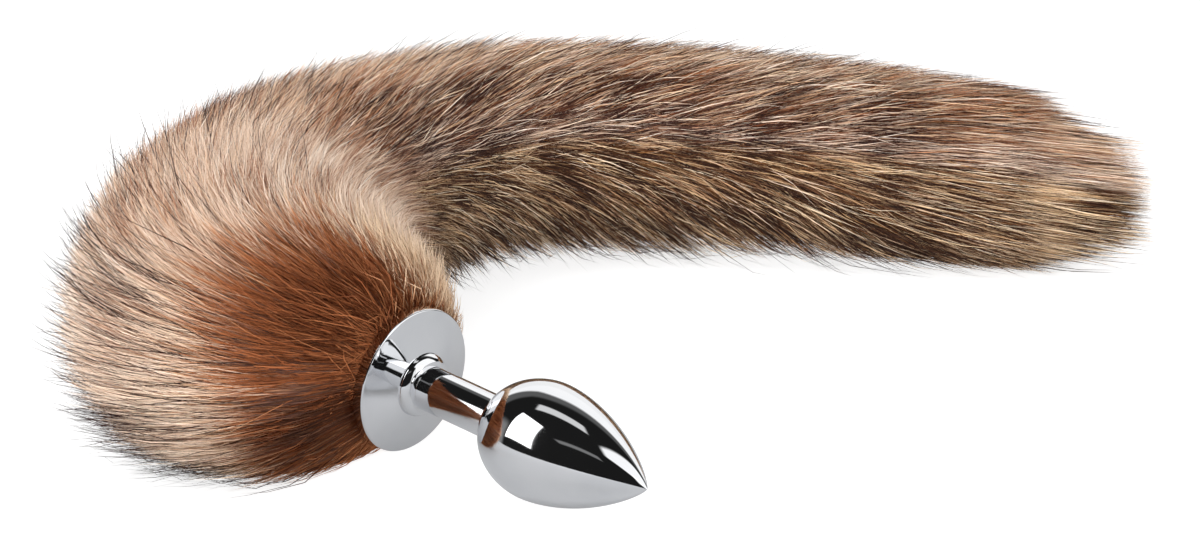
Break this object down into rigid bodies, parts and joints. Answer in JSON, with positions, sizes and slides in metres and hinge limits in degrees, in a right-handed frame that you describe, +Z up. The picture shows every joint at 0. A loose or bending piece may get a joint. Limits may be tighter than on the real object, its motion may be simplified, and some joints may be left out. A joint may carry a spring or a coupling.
{
  "type": "fox tail butt plug",
  "caption": "Polished metal plug with a round flange, thin neck and pointed bulb, and a long chestnut and tan fur tail with dark guard hairs, laid in a wide bend.",
  "frame": {"origin": "middle of the part's bounding box, on the surface that it lies on", "axes": "+X along the tail's far run towards its tip, +Y from the plug towards that run, +Z up"},
  "size_m": [0.251, 0.1984, 0.0603],
  "materials": {
    "polished_metal": "mirror polished",
    "post_metal": "satin, hidden",
    "fox_fur": "deep straight fur, chestnut by the flange, then tan and cream with dark guard hairs"
  },
  "bodies": {
    "root": {"plug": "polished_metal", "tail_post": "post_metal", "fur_tail": "fox_fur"}
  },
  "joints": []
}
